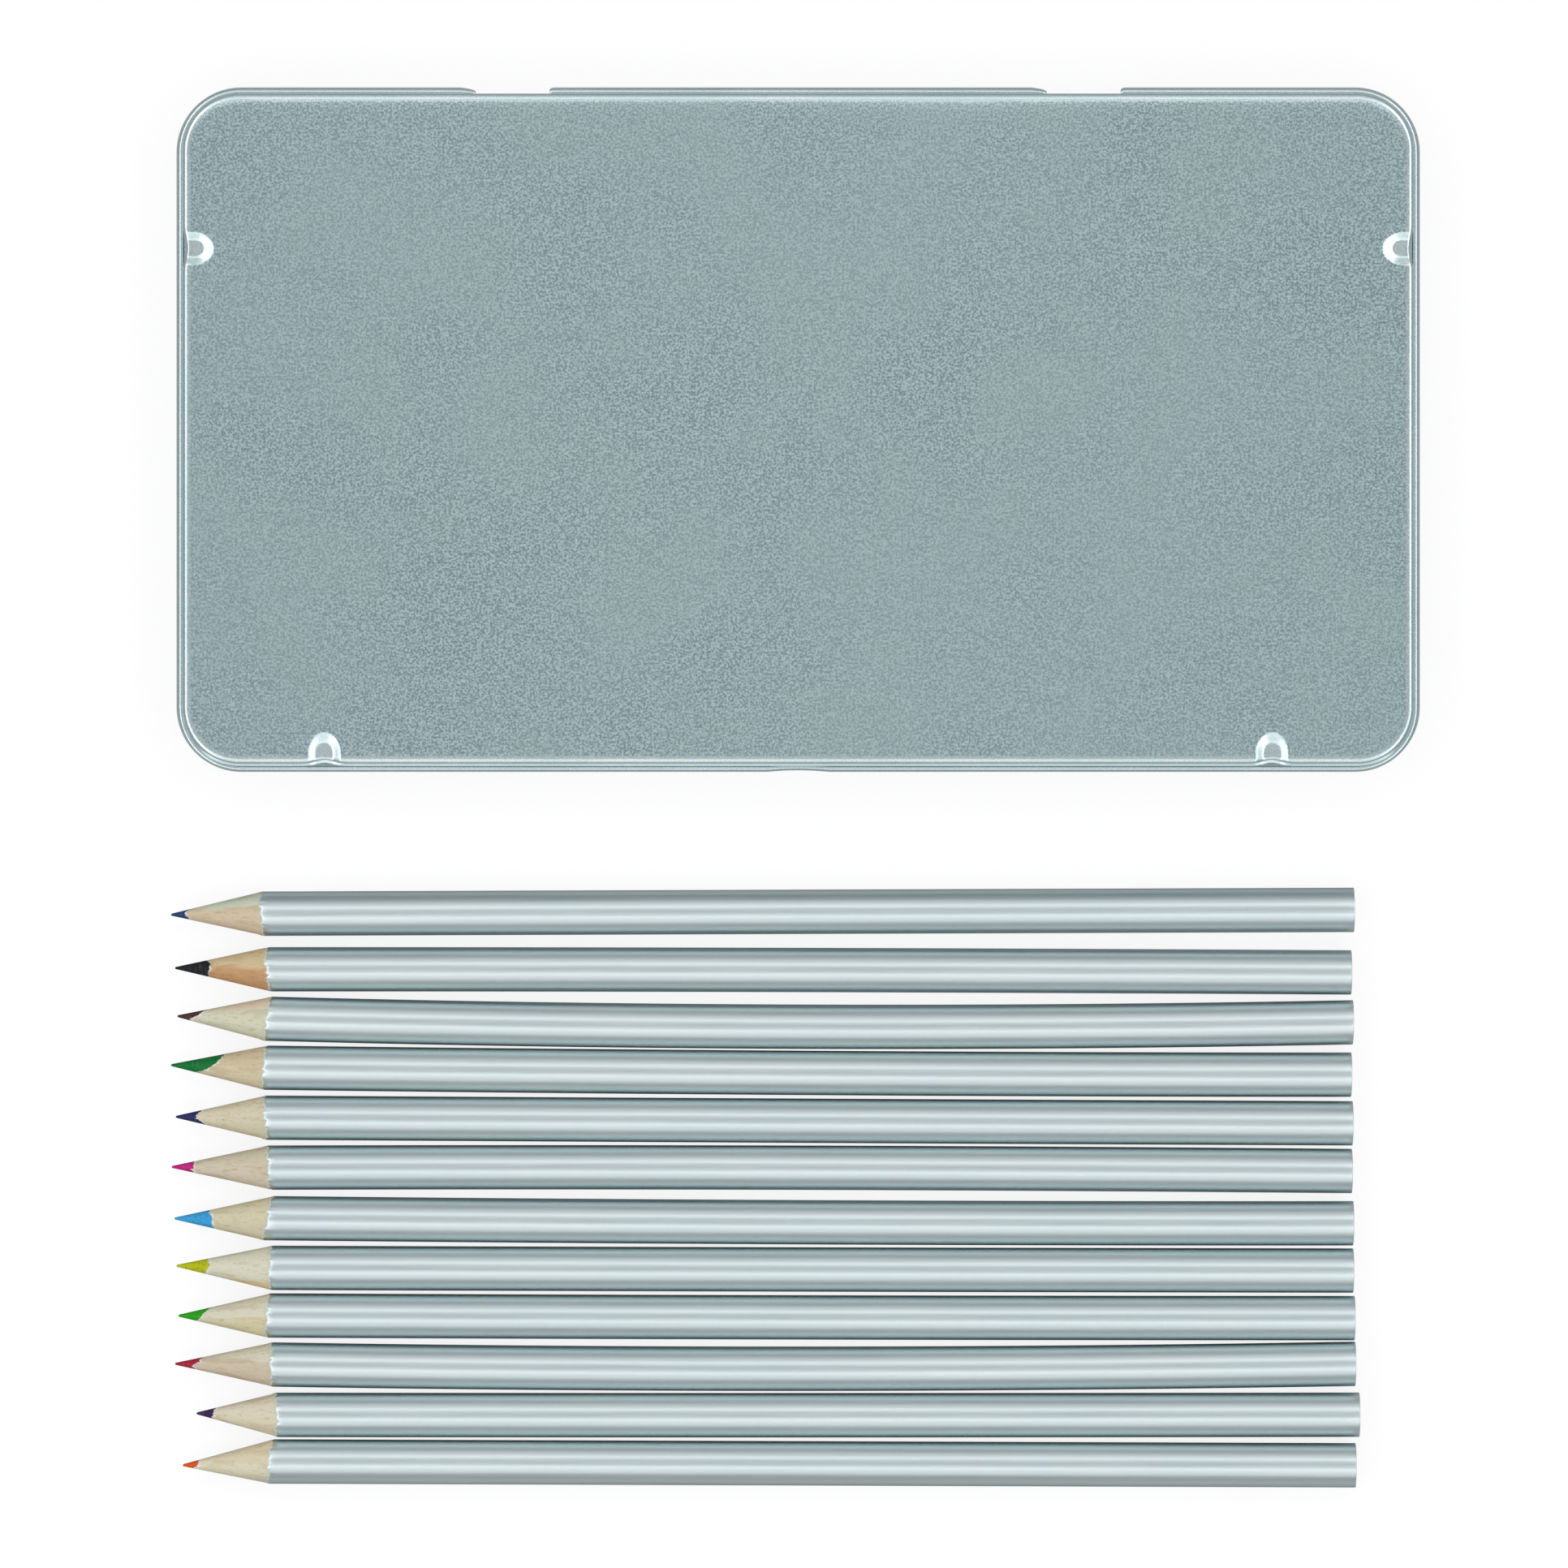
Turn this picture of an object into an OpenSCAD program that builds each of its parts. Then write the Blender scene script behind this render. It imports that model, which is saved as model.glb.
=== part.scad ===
// Flat hinged tin for twelve colouring pencils, with the pencils laid out in a row in front of it.
// The origin is the middle of the tin's underside. The hinge is at the back, along +Y.

/* [Pencils] */
// Diameter over the lacquer
pencil_d = 6.6; // [6:0.1:7.2]
// Length of the longest pencil, point included
pencil_l = 175.6; // [150:0.2:180]
// Thickness of the lacquer
lacquer_t = 0.1; // [0.06:0.02:0.2]
// Diameter of the blunted tip
tip_d = 0.3; // [0.1:0.05:0.5]
// Free surface between the tin and the first pencil of the row
row_gap = 17.5; // [5:0.5:40]

/* [Tray] */
// Thickness of the moulded sheet
tray_t = 0.4; // [0.3:0.05:0.6]
// Play between a pencil and the round of its groove
groove_play = 0.15; // [0.1:0.05:0.3]
// Distance left between two pencils in neighbouring grooves
pencil_web = 0.7; // [0.7:0.1:1.6]
// Height of the ridges over the floor of the tin
ridge_h = 3.3; // [2.6:0.1:3.6]
// Play at each end of the longest pencil
end_play = 0.3; // [0.2:0.1:2]
// Width of the rim past the ends of the grooves
end_rim = 1.3; // [1:0.1:4]
// Width of the rim beside the outer grooves
side_rim = 4.2; // [3.2:0.1:8]
// Width of the well that lets the fingers under the pencils
well_w = 22; // [14:1:40]
// Play between the tray and the wall of the tin
tray_play = 0.5; // [0.3:0.1:1]

/* [Tin] */
// Thickness of the tinplate
sheet = 0.3; // [0.2:0.02:0.34]
// Angle that the rolled edges of the base and the lid turn through
roll_wrap = 290; // [270:5:300]
// Height of the base
base_h = 9.7; // [9.2:0.1:14]
// Radius under the base's wall
base_edge_r = 1.5; // [0.8:0.1:2]
// Diameter of the inward roll along the base's rim
rim_d = 1.4; // [1.2:0.1:1.8]
// Height of the lid's panel over the base's rim
lid_rise = 2.3; // [2.2:0.1:3]
// Height of the lid
lid_h = 6; // [5:0.1:6.4]
// Clearance between the lid's skirt and the base's wall
lid_clear = 0.4; // [0.36:0.02:0.6]
// Radius along the lid's panel
lid_edge_r = 1; // [0.6:0.1:1.4]
// Radius of the lid's corners, seen from above
corner_r = 8.4; // [8:0.1:10]
// Diameter of the outward roll along the lid's skirt
curl_d = 1.5; // [1.3:0.05:1.6]

/* [Hinges] */
// Distance from the middle of the tin to the middle of each hinge
hinge_x = 42.3; // [20:0.5:60]
// Width of the lid's tongues
tongue_w = 8; // [5:0.5:14]
// Height of the curl's middle over the hinge axis
hinge_drop = 1.6; // [1.5:0.05:1.8]
// Running clearance between a tongue and its bead
hinge_play = 0.08; // [0.05:0.01:0.12]
// Angle that a tongue wraps under and behind its bead
tongue_wrap = 125; // [90:5:125]
// Play at each side of a tongue in its slot
slot_play = 0.5; // [0.3:0.1:1]
// Height of the slots under the beads
slot_h = 2.6; // [1.8:0.1:3]
// Bare skirt left at each side of a tongue, where the curl stops
curl_stop = 1.5; // [1:0.1:3]

/* [Pressed marks] */
// Distance of the front dimples from the middle
front_dimple_x = 70; // [40:1:74]
// Distance of the side dimples from the middle
side_dimple_y = 26.6; // [0:0.2:34]
// Depth of the dimples
dimple_depth = 0.8; // [0.4:0.1:1]
// Width of a dimple at the panel
dimple_w = 5.1; // [4:0.1:6]
// Width of a dimple's flat floor
dimple_floor_w = 2.6; // [1.6:0.1:3.2]
// Distance from the skirt to the middle of a dimple's round end
dimple_inset = 1.55; // [1:0.05:2.5]
// Radius of the dent that each dimple makes in the skirt
dent_r = 2.6; // [2.2:0.1:3]
// Depth of that dent
dent_depth = 0.7; // [0.4:0.05:0.7]
// Depth of the dent's deepest point under the panel
dent_down = 0.9; // [0.8:0.1:1.2]
// Width of the thumb dent in the front curl
thumb_w = 9; // [6:0.5:20]
// Depth of the thumb dent
thumb_depth = 0.3; // [0.1:0.05:0.4]

/* [Hidden] */
$fn = 64;
eps = 0.02;

// The row, from the tin outwards: name, colour of the core, tip to the right of the tin's left side,
// gap to the pencil before, turn in degrees, length used up, length of the sharpened cone,
// side shift of the cone at the tip and at the lacquer, core diameter, core shift sideways and up,
// turn of the glue plane from upright
pencils = [
    ["navy",        "#2b3a5e",  -1.0,    0,   0.2,   0, 13.8,  -0.1,  0.05, 1.65, -0.05, -0.15,  12],
    ["black",       "#20262a",  -0.4, 2.05, -0.15, 1.0, 14.1,   0.2,  0.05,  2.5,   0.1,   0.1,   6],
    ["brown",       "#4a2b2f", -0.05,  1.4,  -0.3, 1.1, 13.7,     0,  -0.1,  1.9,   0.3,  -0.1,  33],
    ["green",       "#0a7a30",  -1.0,  0.5,  -0.4, 0.4, 14.2,   0.2, -0.05,  2.9,   0.6,  0.15,  80],
    ["indigo",      "#2c2c55",  -0.3,  0.6,  -0.3, 0.9, 13.7,  0.05,  0.05, 2.25,     0, -0.25,  75],
    ["magenta",     "#c4187c",  -0.9,  0.5, -0.15, 0.4, 14.8,  0.15,  0.05, 1.75,   0.1,  0.05,  80],
    ["light_blue",  "#2f95d8",  -0.5,  1.3,  -0.3, 0.6, 14.2,  -0.2, -0.15, 2.85,  -0.2,     0,  75],
    ["yellow",      "#c8c800",  -0.2,  0.5, -0.15, 0.9, 14.3,  0.25, -0.02,  2.3,   0.2,  0.15, -27],
    ["light_green", "#1fa51f",   0.1,  0.5, -0.15, 1.0, 13.6,  -0.1, -0.05, 2.15,  0.15, -0.05, -27],
    ["crimson",     "#b01838",  -0.4,  0.8, -0.05, 0.4, 14.7, -0.15,  0.02, 1.85, -0.05,  -0.1,   3],
    ["purple",      "#4a2a60",   2.8, 0.55,     0, 3.0, 12.2,   0.2,  0.02, 1.65,   0.2,     0,  80],
    ["orange",      "#e8541c",  0.75, 0.55,  -0.2, 1.5, 13.3,  -0.6, -0.05,  1.3, -0.45,   0.1,  20]
];
pencil_parts = ["core", "slat_back", "slat_front", "lacquer"];
pencil_count = len(pencils);
function core_colour(i) = pencils[i][1];
function tip_x(i) = -over_l / 2 + pencils[i][2];
function row_y(i) = i == 0 ? -over_w / 2 - row_gap - pencil_d / 2
                           : row_y(i - 1) - pencil_d - pencils[i][3];
function turn(i) = pencils[i][4];
function pencil_length(i) = pencil_l - pencils[i][5];
function cone_l(i) = pencils[i][6];
function cone_tip_y(i) = pencils[i][7];
function cone_edge_y(i) = pencils[i][8];
function core_d(i) = pencils[i][9];
function core_y(i) = pencils[i][10];
function core_z(i) = pencils[i][11];
function glue_turn(i) = pencils[i][12];

// The tray is laid out round the pencils, and the tin round the tray
groove_r = pencil_d / 2 + groove_play;
groove_pitch = pencil_d + pencil_web;
groove_l = pencil_l + 2 * end_play;
grooves_w = pencil_count * groove_pitch;
groove_z = sheet + tray_t + groove_r;
ridge_z = sheet + ridge_h;
tray_l = groove_l + 2 * end_rim;
tray_w = grooves_w + 2 * side_rim;
base_l = tray_l + 2 * tray_play + 2 * sheet;
base_w = tray_w + 2 * tray_play + 2 * sheet;
lid_l = base_l + 2 * lid_clear + 2 * sheet;
lid_w = base_w + 2 * lid_clear + 2 * sheet;
curl_out = curl_d - sheet;
over_l = lid_l + 2 * curl_out;
over_w = lid_w + 2 * curl_out;
closed_h = base_h + lid_rise;

// Every outline of the tin keeps one distance from a rectangle through the middles of its corners
core_x = lid_l / 2 - corner_r;
core_w = lid_w / 2 - corner_r;
base_r = corner_r - sheet - lid_clear;
tray_r = base_r - sheet - tray_play;

// The lid's tongues turn round beads that stand in the plane of the base's back wall
curl_z = closed_h - lid_h + curl_d / 2;
hinge_z = curl_z - hinge_drop;
hinge_y = base_w / 2 - sheet / 2;
tongue_r = lid_clear + sheet / 2;
bead_r = tongue_r - hinge_play;
slot_w = tongue_w + 2 * slot_play;

// Flat shapes

// A slice of a disc between two angles, with straight sides
module wedge(r, from, to) {
    steps = 6;
    rim = [for (k = [0 : steps]) let (a = from + (to - from) * k / steps) r * [cos(a), sin(a)]];
    polygon(concat([[0, 0]], rim));
}

// Rolled edge of sheet metal, with a slit between two angles
module roll(d, slit_from, slit_to) {
    difference() {
        circle(d = d);
        circle(d = d - 2 * sheet);
        wedge(d, slit_from, slit_to);
    }
}

// Quarter bend of sheet metal, in the first quarter
module bend(r) {
    difference() {
        circle(r = r);
        circle(r = r - sheet);
        translate([-2 * r, -r]) square([2 * r, 2 * r]);
        translate([-r, -2 * r]) square([3 * r, 2 * r]);
    }
}

// Outline at a distance from the rectangle through the corner middles
module outline(distance) {
    square([2 * core_x + 2 * distance, 2 * core_w], center = true);
    square([2 * core_x, 2 * core_w + 2 * distance], center = true);
    for (sx = [-1, 1], sy = [-1, 1]) translate([sx * core_x, sy * core_w]) circle(r = distance);
}

// Carries a flat profile once round the tin: x is the distance from the corner middles, y the height
module carried_round() {
    for (k = [0 : 3]) {
        across = k % 2 == 0 ? core_x : core_w;
        along = k % 2 == 0 ? core_w : core_x;
        rotate([0, 0, 90 * k]) {
            translate([across, along, 0]) rotate_extrude(angle = 90) children();
            translate([across, 0, 0]) rotate([90, 0, 0])
                linear_extrude(2 * along, center = true) children();
        }
    }
}

// The base

module base_profile() {
    bend_x = base_r - base_edge_r;
    rim_z = base_h - rim_d / 2;
    translate([bend_x, base_edge_r]) mirror([0, 1]) bend(base_edge_r);
    translate([base_r - sheet, base_edge_r]) square([sheet, rim_z - base_edge_r]);
    translate([base_r - rim_d / 2, rim_z]) roll(rim_d, roll_wrap, 360);
}

module hinge_place() {
    for (side = [-1, 1]) translate([side * hinge_x, hinge_y, hinge_z]) children();
}

module along_x(length) {
    rotate([90, 0, 90]) linear_extrude(length, center = true) children();
}

module tin_base() {
    color("#a3afb2") {
        difference() {
            union() {
                linear_extrude(sheet) outline(base_r - base_edge_r);
                carried_round() base_profile();
            }
            hinge_place() translate([-slot_w / 2, -sheet, -slot_h]) cube([slot_w, 2 * sheet, slot_h]);
        }
        hinge_place() along_x(slot_w) circle(r = bead_r);
    }
}

// The lid

module lid_profile() {
    translate([corner_r - lid_edge_r, closed_h - lid_edge_r]) bend(lid_edge_r);
    translate([corner_r - sheet, curl_z]) square([sheet, closed_h - lid_edge_r - curl_z]);
    translate([corner_r - sheet + curl_d / 2, curl_z]) roll(curl_d, roll_wrap - 180, 180);
}

// The block that the lid's skirt and panel enclose
module lid_block_profile() {
    translate([0, curl_z]) square([corner_r, closed_h - lid_edge_r - curl_z]);
    translate([0, curl_z]) square([corner_r - lid_edge_r, closed_h - curl_z]);
    translate([corner_r - lid_edge_r, closed_h - lid_edge_r]) circle(r = lid_edge_r);
}

// What a dimple takes out at an edge along X, with the skirt's face at y = 0 and the panel at z = 0.
// With depth added it is the same tool grown by a sheet's thickness.
module dimple_tool(grow) {
    slope = (dimple_w - dimple_floor_w) / 2 / dimple_depth;
    drop = grow * sqrt(1 + 1 / pow(slope, 2));
    deep = dimple_depth + grow;
    top_r = dimple_w / 2 + slope * (drop + eps);
    floor_r = top_r - slope * (deep + eps);
    translate([0, -dimple_inset, -deep]) {
        cylinder(h = deep + eps, r1 = floor_r, r2 = top_r);
        rotate([-90, 0, 0]) linear_extrude(dimple_inset + sheet)
            polygon([[-floor_r, 0], [floor_r, 0], [top_r, -deep - eps], [-top_r, -deep - eps]]);
    }
    translate([0, dent_r - dent_depth, -dent_down]) sphere(r = dent_r + grow);
}

module dimple_places() {
    for (side = [-1, 1]) {
        translate([side * front_dimple_x, -lid_w / 2, closed_h]) rotate([0, 0, 180]) children();
        translate([side * lid_l / 2, side_dimple_y, closed_h]) rotate([0, 0, -90 * side]) children();
    }
}

// A round wall along the thumb dent, pressed into the front curl
module thumb_tool(grow) {
    thumb_r = (pow(thumb_w / 2, 2) + pow(thumb_depth, 2)) / (2 * thumb_depth);
    translate([0, -over_w / 2 + thumb_depth - thumb_r, curl_z - curl_d])
        cylinder(h = 2 * curl_d, r = thumb_r + grow, $fn = 360);
}

// Where the curl stops for a hinge: square at the right, running out at the left
module curl_stop_tool() {
    half = tongue_w / 2 + curl_stop;
    skirt_y = tongue_r + sheet;
    translate([0, 0, hinge_drop - curl_d]) linear_extrude(2 * curl_d)
        polygon([[-half, skirt_y], [half, skirt_y], [half, skirt_y + 2 * curl_d],
                 [-half - curl_stop, skirt_y + 2 * curl_d]]);
    translate([-half, tongue_r - eps, hinge_drop - curl_d]) cube([2 * half, sheet + 2 * eps, curl_d]);
}

module tongue() {
    translate([-tongue_w / 2, tongue_r, 0]) cube([tongue_w, sheet, hinge_drop + eps]);
    along_x(tongue_w) difference() {
        circle(r = tongue_r + sheet);
        circle(r = tongue_r);
        wedge(2 * tongue_r + sheet, 0, 360 - tongue_wrap);
    }
}

module tin_lid() {
    color("#aab6b9") {
        difference() {
            union() {
                translate([0, 0, closed_h - sheet]) linear_extrude(sheet) outline(corner_r - lid_edge_r);
                carried_round() lid_profile();
            }
            dimple_places() dimple_tool(0);
            thumb_tool(0);
            hinge_place() curl_stop_tool();
        }
        intersection() {
            carried_round() lid_block_profile();
            dimple_places() difference() {
                dimple_tool(sheet);
                dimple_tool(0);
            }
        }
        difference() {
            intersection() {
                translate([0, -over_w / 2 + curl_d / 2, curl_z]) along_x(2 * thumb_w) circle(d = curl_d);
                thumb_tool(sheet);
            }
            thumb_tool(0);
        }
        hinge_place() tongue();
    }
}

// The tray

module grooves(r) {
    for (k = [0 : pencil_count - 1])
        translate([(k - (pencil_count - 1) / 2) * groove_pitch, groove_z]) circle(r = r);
}

// Cross-section of the moulded sheet through the grooves, up to the ridges
module tray_profile() {
    difference() {
        intersection() {
            union() {
                grooves(groove_r + tray_t);
                translate([-grooves_w / 2, ridge_z - tray_t]) square([grooves_w, tray_t]);
            }
            translate([-grooves_w / 2, 0]) square([grooves_w, ridge_z]);
        }
        grooves(groove_r);
    }
}

// The sunk field that holds the grooves. Its corners never leave the edge of the tray.
module field(grow) {
    intersection() {
        square([groove_l + 2 * grow, grooves_w + 2 * grow], center = true);
        outline(tray_r - tray_t + grow);
    }
}

module pencil_tray() {
    color("#d9d9d4") {
        intersection() {
            translate([0, 0, sheet]) linear_extrude(ridge_z - sheet) field(tray_t);
            for (side = [-1, 1]) {
                translate([side * (groove_l / 2 + well_w / 2) / 2, 0, 0])
                    along_x((groove_l - well_w) / 2) tray_profile();
                // The wall that closes the ridges beside the well
                translate([side * (well_w + tray_t) / 2, 0, 0]) along_x(tray_t) difference() {
                    translate([-grooves_w / 2, sheet]) square([grooves_w, ridge_z - sheet]);
                    grooves(groove_r);
                }
            }
        }
        // The floor of the well
        translate([-well_w / 2, -grooves_w / 2, sheet]) cube([well_w, grooves_w, tray_t]);
        // The wall round the field
        translate([0, 0, sheet]) linear_extrude(ridge_z - sheet) difference() {
            field(tray_t);
            field(0);
        }
        // The flat rim and the edge that hangs from it
        translate([0, 0, ridge_z - tray_t]) linear_extrude(tray_t) difference() {
            outline(tray_r);
            field(0);
        }
        translate([0, 0, 2 * sheet + tray_t]) linear_extrude(ridge_z - 2 * sheet - tray_t) difference() {
            outline(tray_r);
            outline(tray_r - tray_t);
        }
    }
}

// The pencils, each drawn with its tip at the origin and its length along X

// What the sharpener leaves of a rod: all inside a cone that widens past the other end
module sharpened(i) {
    reach = pencil_length(i) + pencil_d;
    widening = (pencil_d - tip_d) / 2 / cone_l(i);
    lean = atan((cone_edge_y(i) - cone_tip_y(i)) / cone_l(i));
    intersection() {
        translate([0, cone_tip_y(i), 0]) rotate([0, 90, lean])
            cylinder(h = reach, r1 = tip_d / 2, r2 = tip_d / 2 + widening * reach);
        children();
    }
}

// Round bar that starts a little before the tip and ends square at the butt
module rod(i, d) {
    rotate([0, 90, 0]) translate([0, 0, -tip_d]) cylinder(h = pencil_length(i) + tip_d, d = d);
}

module core_rod(i) {
    translate([0, core_y(i), core_z(i)]) rod(i, core_d(i));
}

module core(i) {
    color(core_colour(i)) sharpened(i) core_rod(i);
}

// Half of the wooden body, split at the glue plane
module slat(i, side) {
    color("#d8c4a4") sharpened(i) difference() {
        rod(i, pencil_d - 2 * lacquer_t);
        core_rod(i);
        rotate([-glue_turn(i), 0, 0]) translate([-2 * tip_d, side > 0 ? -pencil_d : 0, -pencil_d])
            cube([pencil_length(i) + 4 * tip_d, pencil_d, 2 * pencil_d]);
    }
}

module lacquer(i) {
    color("#c3d0d3") sharpened(i) difference() {
        rod(i, pencil_d);
        rod(i, pencil_d - 2 * lacquer_t);
    }
}

// Lays a pencil down in its place in the row
module laid(i) {
    half = pencil_length(i) / 2;
    translate([tip_x(i) + half, row_y(i), pencil_d / 2]) rotate([0, 0, turn(i)])
        translate([-half, 0, 0]) children();
}

tin_base();
tin_lid();
pencil_tray();
for (i = [0 : pencil_count - 1]) {
    laid(i) core(i);
    laid(i) slat(i, 1);
    laid(i) slat(i, -1);
    laid(i) lacquer(i);
}
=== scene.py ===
"""Looks of the flat pencil tin and its row of silver colouring pencils, seen from above."""

import math

import bmesh
import bpy
import numpy as np
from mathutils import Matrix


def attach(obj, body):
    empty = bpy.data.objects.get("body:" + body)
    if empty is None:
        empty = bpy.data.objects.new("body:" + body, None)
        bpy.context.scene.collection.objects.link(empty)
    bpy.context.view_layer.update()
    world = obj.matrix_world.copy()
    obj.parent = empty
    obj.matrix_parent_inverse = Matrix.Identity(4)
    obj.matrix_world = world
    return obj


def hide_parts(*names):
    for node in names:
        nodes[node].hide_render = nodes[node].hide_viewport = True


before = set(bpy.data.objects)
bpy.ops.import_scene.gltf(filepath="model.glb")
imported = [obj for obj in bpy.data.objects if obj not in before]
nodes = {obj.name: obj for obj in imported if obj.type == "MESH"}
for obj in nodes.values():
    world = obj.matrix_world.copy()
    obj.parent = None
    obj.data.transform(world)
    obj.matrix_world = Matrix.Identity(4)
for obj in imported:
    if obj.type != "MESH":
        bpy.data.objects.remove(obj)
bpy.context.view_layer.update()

MM = 0.001
TAU = 2 * math.pi

# Camera: straight above a point left of the tin's middle and in front of it
CAMERA_AT = (-2.1 * MM, -52.5 * MM)
CAMERA_HEIGHT = 1600 * MM
VIEW_WIDTH = 233.3 * MM
SENSOR_MM = 36.0

# Tin, in millimetres, as in the part's source
CORE_X, CORE_W = 82.5, 41.1
CORNER_R, EDGE_R, SHEET = 8.4, 1.0, 0.3
CLOSED_H, CURL_Z, CURL_R = 12.0, 6.75, 0.75
HINGE_X, TONGUE_HALF, CURL_STOP = 42.3, 4.0, 1.5
HINGE_Z, HINGE_DISTANCE, TONGUE_R = 5.15, 7.55, 0.85
# Where the rolls of the curl and of the tongues end, in degrees
ROLL_END, TONGUE_WRAP = 470, 125

# Pencils, in millimetres, and the points round each
PENCIL_R, LACQUER_T, TIP_R = 3.3, 0.1, 0.15
PENCIL_L, TIN_LEFT, ROW_START = 175.6, -92.1, -71.5
AROUND = 96
WOOD_R = PENCIL_R - LACQUER_T
# Rows of points along the sharpened core and the cut wood
CORE_ROWS, WOOD_ROWS = 14, 26
# How the core's blunt tip starts: distance from the tip, share of the tip's radius
CORE_TIP, CORE_START = ((0.0, 0.6), (0.06, 0.95)), 0.12
# How core and wood go under each other where they meet: distance past the edge, share of the radius
CORE_UNDER, WOOD_UNDER = (0.05, 0.9), (0.03, 0.94)
# Behind the cone: spacing of the rows, and how far past the longest point of an edge they start
ROW_STEP, PAST_CORE, PAST_LIP = 4, 1.5, 0.4
# What a hidden point of the wood holds for its distance past the core and to the lacquer's edge
FAR_PAST, NOT_LEFT = 50.0, -1.0
# The lacquer's edge on the cone: waves round the pencil and their size, and its least width
LIP_WAVES, LIP_SIZE, LIP_WIDTH = (2, 3, 5, 8, 12, 17, 23, 29), 0.28, 0.12
# Its outer line follows that by a share, with a finer wave of its own
LIP_FOLLOW, FINE_WAVES, FINE_SIZE = 0.8, (4, 9, 14, 21), 0.04
# The core's edge on the cone
CORE_WAVES, CORE_WAVE_SIZE = range(5, 36, 3), 0.14
# The rounded edge of the butt: distance from the end, radius
BUTT_EDGE = ((0.12, 3.3), (0.04, 3.29), (0.01, 3.26), (0.0, 3.23))

SHARP_DEGREES = 38


def srgb(red, green, blue):
    """Linear colour of an 8-bit screen colour."""
    def linear(value):
        share = value / 255
        return share / 12.92 if share <= 0.04045 else ((share + 0.055) / 1.055) ** 2.4
    return (linear(red), linear(green), linear(blue), 1.0)


WHITE = (1.0, 1.0, 1.0, 1.0)

# Name: tip shift, gap before, turn, length used up, cone length, side shift of the cone at its tip
# and at the lacquer, core diameter, core shift sideways and up, turn of the glue plane, bow
PENCILS = {
    "navy": (-1.0, 0, 0.2, 0, 13.8, -0.1, 0.05, 1.65, -0.05, -0.15, 12, 0),
    "black": (-0.4, 2.05, -0.15, 1.0, 14.1, 0.2, 0.05, 2.5, 0.1, 0.1, 6, -0.15),
    "brown": (-0.05, 1.4, -0.3, 1.1, 13.7, 0, -0.1, 1.9, 0.3, -0.1, 33, 1.08),
    "green": (-1.0, 0.5, -0.4, 0.4, 14.2, 0.2, -0.05, 2.9, 0.6, 0.15, 80, 0.3),
    "indigo": (-0.3, 0.6, -0.3, 0.9, 13.7, 0.05, 0.05, 2.25, 0, -0.25, 75, 0.04),
    "magenta": (-0.9, 0.5, -0.15, 0.4, 14.8, 0.15, 0.05, 1.75, 0.1, 0.05, 80, -0.28),
    "light_blue": (-0.5, 1.3, -0.3, 0.6, 14.2, -0.2, -0.15, 2.85, -0.2, 0, 75, 0.27),
    "yellow": (-0.2, 0.5, -0.15, 0.9, 14.3, 0.25, -0.02, 2.3, 0.2, 0.15, -27, 0.05),
    "light_green": (0.1, 0.5, -0.15, 1.0, 13.6, -0.1, -0.05, 2.15, 0.15, -0.05, -27, 0.11),
    "crimson": (-0.4, 0.8, -0.05, 0.4, 14.7, -0.15, 0.02, 1.85, -0.05, -0.1, 3, 0.8),
    "purple": (2.8, 0.55, 0, 3.0, 12.2, 0.2, 0.02, 1.65, 0.2, 0, 80, 0.08),
    "orange": (0.75, 0.55, -0.2, 1.5, 13.3, -0.6, -0.05, 1.3, -0.45, 0.1, 20, 0),
}

# Where the core ends on the cone, as (share of the width from the back, distance from the tip)
CORE_ENDS = {
    "navy": ((0, 3.04), (.08, 2.7), (.3, 2.08), (.42, 2.1), (.5, 2.35), (.6, 2.2), (.8, 2.66),
             (1, 2.72)),
    "black": ((0, 4.6), (.06, 4.9), (.12, 5.2), (.3, 5.35), (.4, 5.2), (.5, 5.25), (.75, 5.05),
              (1, 5)),
    "brown": ((0, 4.7), (.08, 3.9), (.15, 3.56), (.35, 3.16), (.6, 2.26), (.8, 1.75), (1, 2.15)),
    "green": ((0, 8.4), (.1, 7.5), (.2, 7.35), (.3, 6.9), (.5, 6), (.7, 5.2), (.85, 4.3),
              (1, 3.66)),
    "indigo": ((0, 3.92), (.15, 3.6), (.35, 3.08), (.6, 3.14), (.8, 3.8), (1, 4.5)),
    "magenta": ((0, 3.42), (.3, 3.42), (.5, 3.3), (.62, 3.3), (.7, 3.02), (.8, 3.05), (.88, 3.3),
                (1, 3.3)),
    "light_blue": ((0, 5.5), (.12, 5.15), (.3, 5.5), (.5, 5.8), (.7, 5.6), (.9, 5.8), (1, 6.1)),
    "yellow": ((0, 4.87), (.15, 4.77), (.35, 5.07), (.55, 4.87), (.7, 4.57), (.85, 4.47),
               (1, 4.37)),
    "light_green": ((0, 5), (.1, 4.5), (.25, 3.93), (.45, 3.53), (.65, 3.42), (.8, 3.12),
                    (1, 2.72)),
    "crimson": ((0, 4.2), (.12, 3.8), (.3, 3.75), (.5, 2.88), (.65, 2.54), (.8, 2.78), (1, 3.22)),
    "purple": ((0, 2.84), (.2, 2.68), (.4, 2.54), (.5, 2.6), (.6, 2.48), (.8, 2.38), (1, 2.38)),
    "orange": ((0, 2.38), (.2, 2.52), (.5, 2.28), (.75, 2.08), (.85, 1.57), (1, 1.87)),
}

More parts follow.
